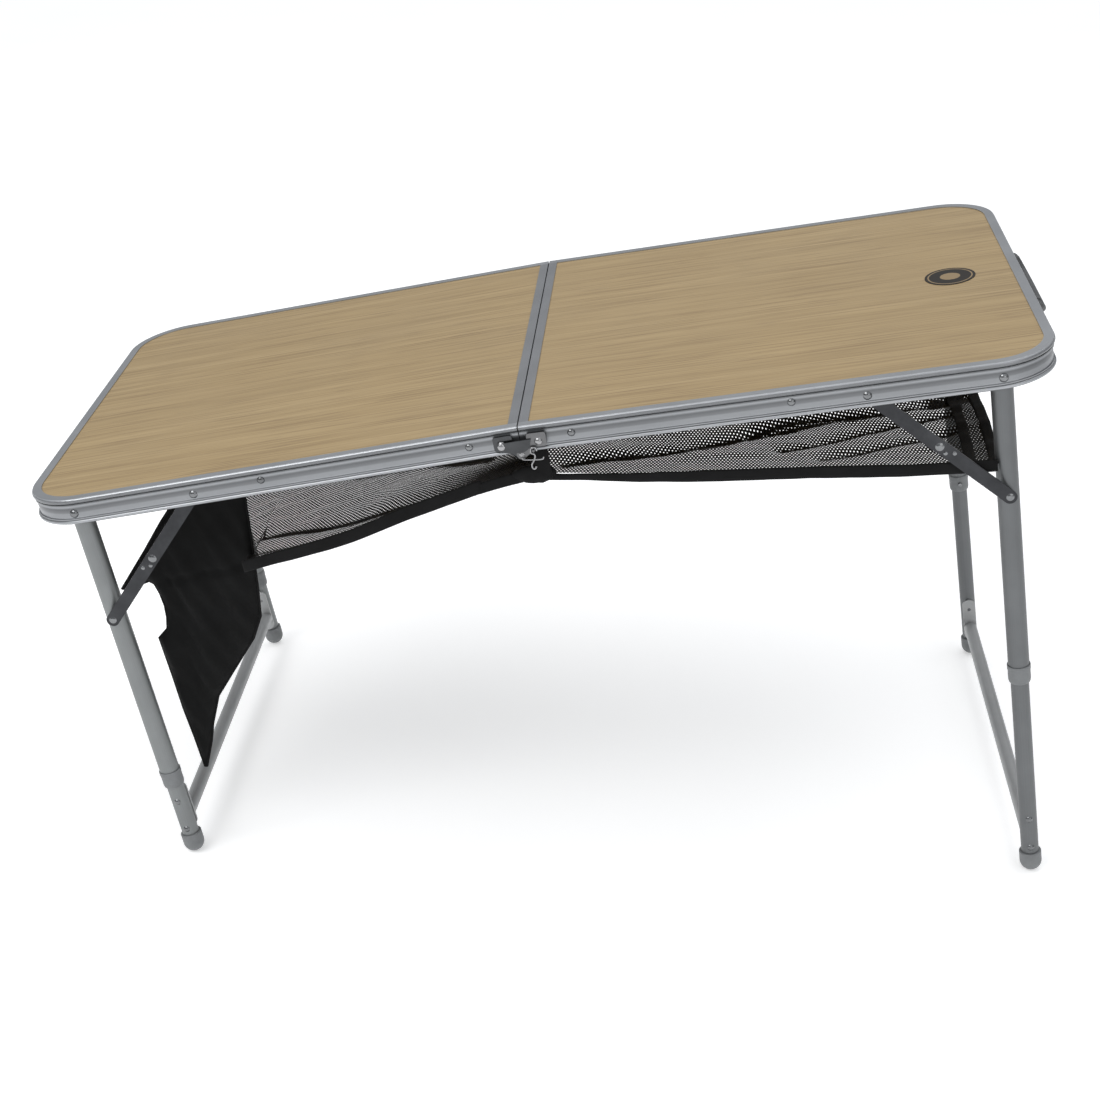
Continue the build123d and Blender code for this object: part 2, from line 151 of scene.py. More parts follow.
def math_of(tree, operation, a, b=None, c=None):
    made = node(tree, "ShaderNodeMath", operation=operation)
    for slot, value in zip(made.inputs, (a, b, c)):
        if value is None:
            continue
        if hasattr(value, "is_output"):
            link(tree, value, slot)
        else:
            slot.default_value = value
    return made.outputs[0]


def mix(tree, factor, a, b, blend="MIX"):
    made = node(tree, "ShaderNodeMix", data_type="RGBA", blend_type=blend)
    for key, value in (("Factor", factor), ("A", a), ("B", b)):
        slot = [s for s in made.inputs if s.name == key and s.enabled][0]
        if hasattr(value, "is_output"):
            link(tree, value, slot)
        elif hasattr(value, "__len__"):
            slot.default_value = (*value, 1)
        else:
            slot.default_value = value
    return [s for s in made.outputs if s.enabled][0]


def bump(tree, shader, height, strength, distance):
    made = node(tree, "ShaderNodeBump")
    made.inputs["Strength"].default_value = strength
    made.inputs["Distance"].default_value = distance
    link(tree, height, made.inputs["Height"])
    link(tree, made.outputs["Normal"], shader.inputs["Normal"])


def laminate(side):
    """Pale oak print: long soft bands and fine dark dashes along the half, under a satin film."""
    material, tree, shader = new_material(f"laminate_{side}")
    oak_dark, oak_middle, oak_light = (0.326, 0.229, 0.106), (0.362, 0.257, 0.122), (0.398, 0.288, 0.142)
    line_brown = (0.236, 0.156, 0.068)
    dash_brown = (0.180, 0.112, 0.052)
    grain_drift = (0.0, 0.012, 0.0)
    drift = noise_of(tree, mapped(tree, (3.0, 22.0, 0.0)), 1.0, 2.0)
    coords = mapped(tree, (1.0, 1.0, 0.0))
    push = node(tree, "ShaderNodeVectorMath", operation="MULTIPLY_ADD")
    link(tree, coords, push.inputs[2])
    link(tree, drift, push.inputs[0])
    push.inputs[1].default_value = grain_drift

    def grain(scale, detail, roughness):
        stretch = node(tree, "ShaderNodeVectorMath", operation="MULTIPLY")
        link(tree, push.outputs[0], stretch.inputs[0])
        stretch.inputs[1].default_value = scale
        return noise_of(tree, stretch.outputs[0], 1.0, detail, roughness)

    bands = grain((1.1, 60.0, 0.0), 3.0, 0.6)
    lines = grain((4.5, 360.0, 0.0), 3.0, 0.55)
    dashes = grain((14.0, 520.0, 0.0), 2.0, 0.5)
    base = ramp(tree, bands, [(0.32, oak_dark), (0.50, oak_middle), (0.68, oak_light)])
    line_mask = ramp(tree, lines, [(0.34, 0.0), (0.46, 0.70), (0.58, 1.0)])
    lined = mix(tree, line_mask, line_brown, base)
    dash_mask = ramp(tree, dashes, [(0.29, 1.0), (0.38, 0.0)])
    faint = math_of(tree, "MULTIPLY", dash_mask, 0.75)
    colour = mix(tree, faint, lined, dash_brown)
    link(tree, colour, shader.inputs["Base Color"])
    smudge = noise_of(tree, mapped(tree, (7.0, 7.0, 7.0)), 1.0, 4.0)
    link(tree, ramp(tree, smudge, [(0.3, 0.34), (0.7, 0.46)]), shader.inputs["Roughness"])
    shader.inputs["Coat Weight"].default_value = 0.12
    shader.inputs["Coat Roughness"].default_value = 0.28
    bump(tree, shader, lines, 0.10, 0.0004)
    return material


# Painted highlights and shade on the rim's extrusion: how brightly each facet shows under the light, by
# height above the hinge axis in metres
RIM_FACET_LIGHT_SHADE = [(0.0, 0.46), (0.0014, 0.56), (0.0022, 0.95), (0.0036, 1.20), (0.0046, 1.00), (0.0054, 0.52),
              (0.0064, 0.84), (0.0080, 0.95), (0.0092, 0.76), (0.0135, 0.72), (0.0150, 0.52),
              (0.0180, 0.42), (0.0195, 0.38), (0.0208, 0.66), (0.0222, 0.92), (0.0236, 0.76),
              (0.0246, 0.38), (0.0262, 0.68), (0.0285, 0.50), (0.0300, 0.66), (0.0310, 0.95),
              (0.0318, 1.10)]
# Keeps the facets' heights and painted light tones inside the 0 to 1 of a colour ramp
FACET_HEADROOM = 1.3


def metal(name, colour, roughness, metallic=1.0, lines_along=None, line_scale=900.0, wear=0.12,
          bump_strength=0.08, facet_light_shade=None):
    """Metal with drawn lines square to one direction, cloudy wear and fine scratches."""
    material, tree, shader = new_material(name)
    clouds = noise_of(tree, mapped(tree, (11.0, 11.0, 11.0)), 1.0, 4.0, 0.6)
    dark = tuple(c * (1 - wear) for c in colour)
    light = tuple(min(1.0, c * (1 + wear)) for c in colour)
    cloudy = ramp(tree, clouds, [(0.32, dark), (0.68, light)])
    shader.inputs["Metallic"].default_value = metallic
    coords = node(tree, "ShaderNodeTexCoord")
    if lines_along is not None:
        height = node(tree, "ShaderNodeVectorMath", operation="DOT_PRODUCT")
        link(tree, coords.outputs["Object"], height.inputs[0])
        height.inputs[1].default_value = lines_along
        fine = node(tree, "ShaderNodeTexNoise", noise_dimensions="1D")
        fine.inputs["Scale"].default_value = line_scale
        fine.inputs["Detail"].default_value = 2.0
        link(tree, height.outputs["Value"], fine.inputs["W"])
        detail = fine.outputs["Fac"]
    else:
        detail = noise_of(tree, mapped(tree, (260.0, 260.0, 260.0)), 1.0, 3.0)
    shade = ramp(tree, detail, [(0.25, 0.90), (0.75, 1.0)])
    toned = mix(tree, 1.0, cloudy, shade, "MULTIPLY")
    # Painted highlights and shade: the colour is brightened and darkened band by band up the rim, as the
    # light falls on each facet
    if facet_light_shade:
        span = TOP_Z * FACET_HEADROOM
        start = HINGE.dot(Vector(lines_along))
        level = math_of(tree, "MULTIPLY_ADD", height.outputs["Value"], 1 / span, -start / span)
        painted_facet_tone = ramp(tree, level, [(z / span, tone / FACET_HEADROOM) for z, tone in facet_light_shade])
        toned = mix(tree, 1.0, toned, painted_facet_tone, "MULTIPLY")
    link(tree, toned, shader.inputs["Base Color"])
    spread = math_of(tree, "MULTIPLY_ADD", detail, 0.10, roughness - 0.05)
    total = math_of(tree, "MULTIPLY_ADD", clouds, 0.10, spread)
    link(tree, total, shader.inputs["Roughness"])
    bump(tree, shader, detail, bump_strength, 0.0003)
    return material


def plastic(name, colour, roughness):
    """Moulded plastic with a fine spark-eroded grain and slight scuffing."""
    material, tree, shader = new_material(name)
    scuffs = noise_of(tree, mapped(tree, (60.0, 60.0, 60.0)), 1.0, 5.0, 0.65)
    dark = tuple(c * 0.86 for c in colour)
    light = tuple(c * 1.12 for c in colour)
    link(tree, ramp(tree, scuffs, [(0.3, dark), (0.7, light)]), shader.inputs["Base Color"])
    link(tree, ramp(tree, scuffs, [(0.3, roughness), (0.75, roughness + 0.12)]),
         shader.inputs["Roughness"])
    grain = noise_of(tree, mapped(tree, (1400.0, 1400.0, 1400.0)), 1.0, 2.0)
    bump(tree, shader, grain, 0.12, 0.0002)
    return material


def weave(name, colour, pitch, depth, sheen=0.25):
    """Woven cloth: two crossed thread waves, with dusty variation and a soft sheen."""
    material, tree, shader = new_material(name)
    coords = node(tree, "ShaderNodeUVMap", uv_map="cloth")
    split = node(tree, "ShaderNodeSeparateXYZ")
    link(tree, coords.outputs["UV"], split.inputs[0])
    turn = 2 * math.pi / pitch
    warp = math_of(tree, "SINE", math_of(tree, "MULTIPLY", split.outputs["X"], turn))
    weft = math_of(tree, "SINE", math_of(tree, "MULTIPLY", split.outputs["Y"], turn))
    threads = math_of(tree, "MULTIPLY", warp, weft)
    height = math_of(tree, "MULTIPLY_ADD", threads, 0.5, 0.5)
    dust = noise_of(tree, mapped(tree, (28.0, 28.0, 28.0)), 1.0, 4.0, 0.6)
    dark = tuple(c * 0.6 for c in colour)
    light = tuple(c * 1.5 for c in colour)
    tone = ramp(tree, dust, [(0.3, dark), (0.7, light)])
    shade = ramp(tree, height, [(0.0, 0.65), (1.0, 1.0)])
    link(tree, mix(tree, 1.0, tone, shade, "MULTIPLY"), shader.inputs["Base Color"])
    shader.inputs["Roughness"].default_value = 0.78
    shader.inputs["Sheen Weight"].default_value = sheen
    shader.inputs["Sheen Roughness"].default_value = 0.4
    shader.inputs["Specular IOR Level"].default_value = 0.18
    bump(tree, shader, height, 0.5, depth)
    return material


MESH_PITCH = (0.0041, 0.0108)     # from hole to hole, along and across the table
HOLE_LEVEL = 1.66                 # holes open where the pattern's three waves add up to this; they reach 3
FOLD_LEVEL = 3.4                  # how far a full fold raises that level


def mesh_fabric(name):
    """Black warp-knit mesh: staggered holes, closing where the cloth is folded double."""
    material, tree, shader = new_material(name)
    coords = node(tree, "ShaderNodeUVMap", uv_map="cloth")
    split = node(tree, "ShaderNodeSeparateXYZ")
    link(tree, coords.outputs["UV"], split.inputs[0])
    u = math_of(tree, "MULTIPLY", split.outputs["X"], 2 * math.pi / MESH_PITCH[0])
    v = math_of(tree, "MULTIPLY", split.outputs["Y"], 2 * math.pi / MESH_PITCH[1])
    waves = [math_of(tree, "COSINE", math_of(tree, "ADD", u, v)),
             math_of(tree, "COSINE", math_of(tree, "SUBTRACT", u, v)),
             math_of(tree, "COSINE", math_of(tree, "MULTIPLY", v, 2.0))]
    total = math_of(tree, "ADD", math_of(tree, "ADD", waves[0], waves[1]), waves[2])
    folded = node(tree, "ShaderNodeAttribute", attribute_name="folded")
    limit = math_of(tree, "MULTIPLY_ADD", folded.outputs["Fac"], FOLD_LEVEL, HOLE_LEVEL)
    solid = math_of(tree, "LESS_THAN", total, limit)
    link(tree, solid, shader.inputs["Alpha"])
    yarn = noise_of(tree, mapped(tree, (900.0, 900.0, 900.0)), 1.0, 2.0)
    link(tree, ramp(tree, yarn, [(0.3, (0.006, 0.006, 0.006)), (0.7, (0.018, 0.018, 0.018))]),
         shader.inputs["Base Color"])
    shader.inputs["Roughness"].default_value = 0.62
    shader.inputs["Specular IOR Level"].default_value = 0.2
    bump(tree, shader, total, 0.4, 0.0006)
    return material


def badge_print():
    """A plain dark ring with a thin pale line round it, printed on the laminate."""
    material, tree, shader = new_material("badge_print")
    low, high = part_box("badge")
    centre = (low + high) / 2
    coords = node(tree, "ShaderNodeTexCoord")
    offset = node(tree, "ShaderNodeVectorMath", operation="DISTANCE")
    link(tree, coords.outputs["Object"], offset.inputs[0])
    offset.inputs[1].default_value = centre
    rim_radius = 0.0305
    radius = math_of(tree, "MULTIPLY", offset.outputs["Value"], 1 / rim_radius)
    speckle = noise_of(tree, mapped(tree, (500.0, 500.0, 500.0)), 1.0, 2.0)
    rough_radius = math_of(tree, "MULTIPLY_ADD", speckle, 0.02, radius)
    ink = (0.018, 0.015, 0.012)
    pale = (0.250, 0.180, 0.100)
    rings = ramp(tree, rough_radius, [(0.0, pale), (0.40, pale), (0.42, ink), (0.84, ink), (0.855, pale),
                                      (0.895, pale), (0.91, ink), (1.0, ink)])
    link(tree, rings, shader.inputs["Base Color"])
    shader.inputs["Roughness"].default_value = 0.5
    shader.inputs["Specular IOR Level"].default_value = 0.25
    bump(tree, shader, speckle, 0.1, 0.0002)
    return material


UP = {side: tuple(AXES[side][2]) for side in SIDES}
ACROSS = (0.0, 1.0, 0.0)
MATERIALS = {
    "handle": plastic("handle_plastic", (0.085, 0.088, 0.09), 0.5),
    "grey_plastic": plastic("grey_plastic", (0.165, 0.172, 0.176), 0.46),
    "stay_steel": metal("stay_steel", (0.046, 0.047, 0.050), 0.27, wear=0.40),
    "hinge_steel": metal("hinge_steel", (0.070, 0.072, 0.075), 0.26, wear=0.3),
    "leaf_steel": metal("leaf_steel", (0.150, 0.150, 0.153), 0.26, wear=0.35),
    "bright_steel": metal("bright_steel", (0.34, 0.34, 0.345), 0.20, wear=0.2),
    "rivet_steel": metal("rivet_steel", (0.20, 0.205, 0.21), 0.16, wear=0.25),
    "webbing": weave("black_webbing", (0.0045, 0.0045, 0.0047), 0.0016, 0.0004, sheen=0.03),
    "bag_cloth": weave("bag_cloth", (0.0030, 0.0031, 0.0031), 0.0008, 0.0002, sheen=0.02),
    "mesh": mesh_fabric("mesh_net"),
    "badge": badge_print(),
}
# Painted light and shade: the left legs are painted a little paler than the right ones, as if lit more from
# the left; the tubes share one aluminium finish
TUBE_GREY_LIT_AND_SHADED = {"left": (0.232, 0.242, 0.243), "right": (0.158, 0.164, 0.168)}
for side in SIDES:
    MATERIALS[f"panel_{side}"] = laminate(side)
    MATERIALS[f"rim_{side}"] = metal(f"rim_aluminium_{side}", (0.50, 0.515, 0.535), 0.34, 0.9,
                                     lines_along=UP[side], line_scale=2600.0, wear=0.05,
                                     facet_light_shade=RIM_FACET_LIGHT_SHADE)
    MATERIALS[f"rail_{side}"] = metal(f"rail_aluminium_{side}", (0.30, 0.307, 0.32), 0.42, 0.85,
                                      lines_along=tuple(AXES[side][0]), line_scale=1800.0, wear=0.06)
    MATERIALS[f"tube_{side}"] = metal(f"tube_aluminium_lit_shaded_{side}", TUBE_GREY_LIT_AND_SHADED[side], 0.40, 0.75,
                                      lines_along=ACROSS, line_scale=1500.0, wear=0.08)
    MATERIALS[f"crossbar_{side}"] = metal(f"crossbar_aluminium_{side}", (0.400, 0.406, 0.408), 0.44, 0.65,
                                          lines_along=UP[side], line_scale=1500.0, wear=0.08)


def paint(name, key):
    """Give a carried-over CAD node its material."""
    piece = nodes[name]
    piece.data.materials.clear()
    piece.data.materials.append(MATERIALS[key])


for side in SIDES:
    for name, key in (("panel", f"panel_{side}"), ("rim", f"rim_{side}"),
                      ("centre_rail", f"rail_{side}"), ("cross_tube", f"crossbar_{side}"),
                      ("upper_tube_front", f"tube_{side}"), ("upper_tube_back", f"tube_{side}"),
                      ("lower_tube_front", f"tube_{side}"), ("lower_tube_back", f"tube_{side}"),
                      ("crossbar", f"crossbar_{side}"), ("leg_collars", "grey_plastic"),
                      ("feet", "grey_plastic"), ("upper_stays", "stay_steel"),
                      ("lower_stays", "stay_steel"), ("panel_rivets", "rivet_steel"),
                      ("leg_pivots", "rivet_steel"), ("stay_pivots", "rivet_steel"),
                      ("knee_rivets", "rivet_steel"), ("stay_rivets", "rivet_steel"),
                      ("crossbar_rivets", "rivet_steel"), ("hinge_rivets", "bright_steel"),
                      ("snap_button_front", "rivet_steel"), ("snap_button_back", "rivet_steel"),
                      ("hinge_leaves", "hinge_steel")):
        paint(f"{name}_{side}", key)
paint("hinge_leaves_right", "leaf_steel")
for name, key in (("hinge_pins", "bright_steel"), ("handle_brackets", "handle"),
                  ("handle", "handle"), ("badge", "badge")):
    paint(name, key)


# ---------------------------------------------------------------- mesh helpers

def make_piece(name, vertices, faces, material, uvs=None):
    """A new mesh object; uvs are one (u, v) in metres for each vertex."""
    mesh = bpy.data.meshes.new(name)
    mesh.from_pydata([tuple(v) for v in vertices], [], faces)
    mesh.update()
    if uvs is not None:
        layer = mesh.uv_layers.new(name="cloth")
        for loop in mesh.loops:
            layer.data[loop.index].uv = uvs[loop.vertex_index]
    piece = bpy.data.objects.new(name, mesh)
    bpy.context.scene.collection.objects.link(piece)
    mesh.materials.append(MATERIALS[material])
    mesh.polygons.foreach_set("use_smooth", [True] * len(mesh.polygons))
    return piece


def grid_faces(rows, columns, close_columns=False):
    faces = []
    for r in range(rows - 1):
        for c in range(columns if close_columns else columns - 1):
            d = (c + 1) % columns
            faces.append((r * columns + c, r * columns + d, (r + 1) * columns + d, (r + 1) * columns + c))
    return faces


def interpolate(points, x):
    """A smooth curve through (x, value) points, flat beyond its ends."""
    if x <= points[0][0]:
        return points[0][1]
    if x >= points[-1][0]:
        return points[-1][1]
    i = next(k for k in range(len(points) - 1) if x <= points[k + 1][0])
    (x0, y0), (x1, y1) = points[i], points[i + 1]
    before = points[max(0, i - 1)]
    after = points[min(len(points) - 1, i + 2)]
    m0 = (y1 - before[1]) / (x1 - before[0])
    m1 = (after[1] - y0) / (after[0] - x0)
    t = (x - x0) / (x1 - x0)
    h = x1 - x0
    return ((2 * t ** 3 - 3 * t ** 2 + 1) * y0 + (t ** 3 - 2 * t ** 2 + t) * h * m0
            + (3 * t ** 2 - 2 * t ** 3) * y1 + (t ** 3 - t ** 2) * h * m1)


def swept(name, path, section, frames, material, closed_ends=True):
    """A strip swept along path: section(i) gives (a, b) offsets along the two frame vectors."""
    vertices = []
    uvs = []
    run = 0.0
    count = len(section(0))
    for i, point in enumerate(path):
        if i:
            run += (Vector(point) - Vector(path[i - 1])).length
        first, second = frames(i)
        round_it = 0.0
        outline = section(i)
        for k, (a, b) in enumerate(outline):
            if k:
                round_it += math.dist(outline[k - 1], outline[k])
            vertices.append(Vector(point) + first * a + second * b)
            uvs.append((run, round_it))
    faces = grid_faces(len(path), count, True)
    if closed_ends:
        faces.append(tuple(range(count - 1, -1, -1)))
        faces.append(tuple(range((len(path) - 1) * count, len(path) * count)))
    return make_piece(name, vertices, faces, material, uvs)


def oval(width, height, n=14, power=0.75):
    """A rounded flat section; a lower power is squarer."""
    points = []
    for k in range(n):
        angle = 2 * math.pi * k / n
        c, s = math.cos(angle), math.sin(angle)
        points.append((math.copysign(abs(c) ** power, c) * width / 2,
                       math.copysign(abs(s) ** power, s) * height / 2))
    return points


# ---------------------------------------------------------------- the net

# (out from the hinge, depth below the top) of the hems
HEM_LINE = {
    "left": [(0.004, 0.070), (0.030, 0.0725), (0.062, 0.0770), (0.110, 0.0865), (0.164, 0.0980),
             (0.230, 0.1135), (0.300, 0.1225), (0.344, 0.127), (0.430, 0.139), (0.518, 0.150)],
    "right": [(0.004, 0.070), (0.060, 0.0775), (0.126, 0.089), (0.210, 0.100), (0.306, 0.110),
              (0.418, 0.123), (0.518, 0.131)],
}
NET_SAG = 0.018
HEM_THICKNESS = 0.0034
# The left net's mesh is pulled less across the table than the right one's, so its holes are rounder
MESH_PULL = {"left": 1.8, "right": 1.0}
# The mesh is gathered where the straps hold it: this much of it, over this run and this far from a hem
GATHER, GATHER_RUN, GATHER_EDGE = {"left": 0.62, "right": 0.0}, 0.13, 0.085
# Folds in the mesh: strength, width and a line of (out from the hinge, in from the front edge)
CREASES = {
    "right": [
        (1.0, 0.0110, [(0.486, 0.262), (0.530, 0.262)]),
        (0.9, 0.0048, [(0.040, 0.040), (0.078, 0.069), (0.147, 0.114), (0.229, 0.154), (0.314, 0.190),
                       (0.413, 0.230), (0.495, 0.261), (0.518, 0.290)]),
        (0.6, 0.0030, [(0.250, 0.170), (0.290, 0.195), (0.364, 0.223), (0.420, 0.240)]),
        (0.7, 0.0034, [(0.289, 0.105), (0.334, 0.124), (0.383, 0.154), (0.451, 0.192), (0.495, 0.205)]),
        (0.65, 0.0030, [(0.331, 0.066), (0.378, 0.085), (0.426, 0.114), (0.493, 0.147)]),
        (0.4, 0.0020, [(0.120, 0.420), (0.250, 0.380), (0.400, 0.400), (0.500, 0.360)]),
    ],
    "left": [
        (0.9, 0.0060, [(0.360, 0.118), (0.280, 0.100), (0.172, 0.068), (0.100, 0.040)]),
        (0.6, 0.0040, [(0.360, 0.052), (0.300, 0.046), (0.220, 0.030)]),
        (0.6, 0.0090, [(0.250, 0.250), (0.150, 0.210), (0.060, 0.120)]),
        (0.35, 0.0020, [(0.344, 0.420), (0.200, 0.400), (0.070, 0.430)]),
    ],
}
CREASE_DROP = 0.007
# The far hem: its distance out beside the legs, its bow between them, and the band that runs inside it
FAR_X = 0.519
FAR_BOW = 0.012
BAND_SETBACK = 0.027
FAR_TAPE_WIDTH = 0.013
BAND_THICKNESS = 0.0020
NET_SPAN = {"left": (0.060, FAR_X), "right": (0.006, FAR_X)}
BAG_EDGE = 0.360          # the left net is cut away behind the bag: beyond this, and this far in
BAG_BACK = 0.0765


def segment_distance(x, q, line):
    """How far a point is from a line of points, up to a metre."""
    best = 1.0
    for (x0, q0), (x1, q1) in zip(line, line[1:]):
        dx, dq = x1 - x0, q1 - q0
        t = max(0.0, min(1.0, ((x - x0) * dx + (q - q0) * dq) / (dx * dx + dq * dq)))
        best = min(best, math.hypot(x - x0 - t * dx, q - q0 - t * dq))
    return best


def across_net(q):
    """Where a point lies between the front hem, 0, and the back one, 1."""
    return max(0.0, min(1.0, (q - NET_FRONT) / (NET_BACK - NET_FRONT)))


def fold_amount(side, x, q):
    """How far the mesh is folded double here, from 0 to 1, and how far it is pushed down."""
    to_hem = min(q - NET_FRONT, NET_BACK - q)
    folded = GATHER[side] * math.exp(-(x / GATHER_RUN) ** 2 - (to_hem / GATHER_EDGE) ** 2)
    down = 0.0
    for strength, width, line in CREASES[side]:
        away = segment_distance(x, q, line)
        folded = max(folded, strength * math.exp(-(away / width) ** 2))
        down += strength * CREASE_DROP * math.exp(-(away / (width * 3)) ** 2)
    return folded, down


def net_depth(side, x, q):
    """The net's depth below the top: the hem's line, the sag between the hems, folds and ripples."""
    t = across_net(q)
    hem_top = interpolate(HEM_LINE[side], x) - 0.005
    sag = NET_SAG * (4 * t * (1 - t)) ** 0.8 * (0.3 + 0.7 * min(1.0, x / 0.12))
    ripple = noise.noise(Vector((x * 9, q * 16, 3.0 if side == "left" else 7.0)))
    fine = noise.noise(Vector((x * 24, q * 48, 11.0)))
    edge = min(1.0, 8 * t, 8 * (1 - t))
    folded, down = fold_amount(side, x, q)
    return hem_top + sag + edge * (0.006 * ripple + 0.0022 * fine + down)


def front_of_net(side, x):
    """The net's front edge: behind the bag on the left half, along the table's edge elsewhere."""
    return BAG_BACK if side == "left" and x > BAG_EDGE else NET_FRONT


def far_end(q):
    """Where a net's far hem runs: it bows outward between the two legs."""
    return FAR_X + FAR_BOW * math.sin(math.pi * across_net(q)) ** 0.5


def net_sheet(side):
    """One half's mesh sheet, as a fine grid from the inner edge to the far hem."""
    columns, rows = 110, 116
    turned_in, turned_fold = 0.026, 0.30
    start, finish = NET_SPAN[side]
    vertices, uvs, folds = [], [], []
    for r in range(rows):
        t = r / (rows - 1)
        for c in range(columns):
            along = c / (columns - 1)
            x = start + (finish - start) * along
            q = front_of_net(side, x) + (NET_BACK - front_of_net(side, x)) * t
            x += (far_end(q) - finish) * along ** 6
            vertices.append(at(side, x, q, net_depth(side, x, q)))
            uvs.append((x, q * MESH_PULL[side]))
            double = turned_fold if x > far_end(q) - turned_in else 0.0
            folds.append(max(fold_amount(side, x, q)[0], double))
    piece = make_piece(f"net_mesh_{side}", vertices, grid_faces(rows, columns), "mesh", uvs)
    attribute = piece.data.attributes.new("folded", "FLOAT", "POINT")
    attribute.data.foreach_set("value", folds)
    return piece


def hem_height(side, x):
    """How wide the tape looks from the front."""
    if side == "left":
        return interpolate([(0.0, 0.013), (0.05, 0.016), (0.16, 0.017), (0.35, 0.015)], x)
    return interpolate([(0.0, 0.010), (0.045, 0.008), (0.12, 0.011), (0.20, 0.014), (0.52, 0.015)], x)


def net_hem(side, face, start, finish, name):
    """The black tape along one edge of the net, puckered a little as it hangs."""
    q = NET_FRONT if face == "front" else NET_BACK
    steps = max(6, int((finish - start) / 0.006))
    xs = [start + (finish - start) * i / steps for i in range(steps + 1)]
    path = []
    for x in xs:
        wobble = 0.0012 * noise.noise(Vector((x * 30, 5.0, q * 10)))
        centre_depth = interpolate(HEM_LINE[side], x) + 0.004 - hem_height(side, x) / 2
        path.append(at(side, x, q + wobble, centre_depth))
    back, up = back_of(side), AXES[side][2]

    def section(i):
        return oval(HEM_THICKNESS, hem_height(side, xs[i]))

    return swept(name, path, section, lambda i: (back, up), "webbing")


def squash_with_legs(piece):
    """Gives the piece its own copy of its mesh."""
    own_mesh(piece)


net_pieces = {}
for side in SIDES:
    sheet = net_sheet(side)
    hem_start, hem_end = NET_SPAN[side][0] - 0.003, NET_SPAN[side][1] + 0.005
    front_end = BAG_EDGE if side == "left" else hem_end
    hems = [net_hem(side, "front", hem_start, front_end, f"net_hem_front_{side}"),
            net_hem(side, "back", hem_start, hem_end, f"net_hem_back_{side}")]
    net_pieces[side] = (sheet, hems)



def far_tape(name, side, setback, lift, trim, thickness):
    """A tape across the far end of a net, so far in from its end, over the mesh and short of its sides."""
    steps = 60
    front = front_of_net(side, FAR_X) + trim
    path = []
    for i in range(steps + 1):
        q = front + (NET_BACK - trim - front) * i / steps
        x = far_end(q) - setback
        path.append(at(side, x, q, net_depth(side, x, q) - lift))
    outward, _, up = AXES[side]
    return swept(f"{name}_{side}", path, lambda i: oval(FAR_TAPE_WIDTH, thickness),
                 lambda i: (outward, up), "webbing")


for side in SIDES:
    net_pieces[side][1].append(far_tape("net_hem_end", side, 0.0, 0.001, 0.0, HEM_THICKNESS))
    net_pieces[side][1].append(far_tape("net_band", side, BAND_SETBACK, 0.0025, 0.006, BAND_THICKNESS))

for side in SIDES:
    sheet, hems = net_pieces[side]
    body = f"{side}_half"
    for piece in [sheet] + hems:
        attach(piece, body)
        squash_with_legs(piece)
    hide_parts(f"net_{side}")


# ---------------------------------------------------------------- the net's centre, across the hinge

CENTRE_BLEND = 0.03       # the two halves' depths are mixed this far to each side of the hinge


def centre_point(s, q, extra=0.0):
    """A point on the net's centre piece; s runs from the left half (below 0) to the right one."""
    side = "left" if s < 0 else "right"
    x = abs(s)
    depth_left = net_depth("left", x, q)
    depth_right = net_depth("right", x, q)
    share = max(0.0, min(1.0, (s + CENTRE_BLEND) / (2 * CENTRE_BLEND)))
    share = share * share * (3 - 2 * share)
    depth = depth_left * (1 - share) + depth_right * share
    return at(side, x, q, depth + extra)


centre_columns, centre_rows = 24, 116
# The mesh is pinched along a line just left of the hinge
pinch, pinch_place, pinch_width = 0.8, -0.004, 0.008
vertices, uvs, folds = [], [], []
centre_start, centre_end = -NET_SPAN["left"][0], NET_SPAN["right"][0]
for r in range(centre_rows):
    q = NET_FRONT + (NET_BACK - NET_FRONT) * r / (centre_rows - 1)
    for c in range(centre_columns):
        s = centre_start + (centre_end - centre_start) * c / (centre_columns - 1)
        vertices.append(centre_point(s, q))
        uvs.append((abs(s), q))
        folds.append(max(fold_amount("left" if s < 0 else "right", abs(s), q)[0],
                         pinch * math.exp(-((s - pinch_place) / pinch_width) ** 2)))
net_centre = make_piece("net_mesh_centre", vertices, grid_faces(centre_rows, centre_columns), "mesh", uvs)
net_centre.data.attributes.new("folded", "FLOAT", "POINT").data.foreach_set("value", folds)
centre_hems = []
for face, q in (("front", NET_FRONT), ("back", NET_BACK)):
    steps = 12
    marks = [centre_start + (centre_end - centre_start) * i / steps for i in range(steps + 1)]
    path = [centre_point(s, q, 0.0025) for s in marks]
    hem = swept(f"net_hem_{face}_centre", path, lambda i: oval(0.0036, 0.014),
                lambda i: (Vector((0, 1, 0)), Vector((0, 0, 1))), "webbing")
    centre_hems.append(hem)
for piece in [net_centre] + centre_hems:
    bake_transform(piece)

STRAP_X = 0.019           # the strap's middle, out from the hinge
STRAP_INSET = 0.0115      # and in from the table's edge
STRAP_TOP = 0.0325        # where it starts, below the top
STRAP_DROP = 0.0415
STRAP_BOW = 0.0012


def net_strap(face):
    """A strap that hangs from the rim and bows outward a little."""
    sign = FACE_SIGN[face]
    edge = HALF_WIDTH + sign * (HALF_WIDTH - STRAP_INSET)
    steps = 22
    path = []
    for i in range(steps + 1):
        bow = sign * STRAP_BOW * math.sin(math.pi * i / steps)
        path.append(at("right", STRAP_X, edge + bow, STRAP_TOP + STRAP_DROP * i / steps))
    return swept(f"net_strap_{face}", path, lambda i: oval(0.0175, 0.0024, 16, 0.4),
                 lambda i: (AXES["right"][0], back_of("right")), "webbing")


POUCH_START, POUCH_LENGTH = -0.018, 0.050     # along the table, from the hinge
POUCH_HEIGHT, POUCH_THICKNESS = 0.026, 0.0120
POUCH_DEPTH, POUCH_FALL = 0.0655, 0.0020      # its middle below the top, and how much lower it ends
POUCH_SETBACK = 0.003                         # inward from the strap


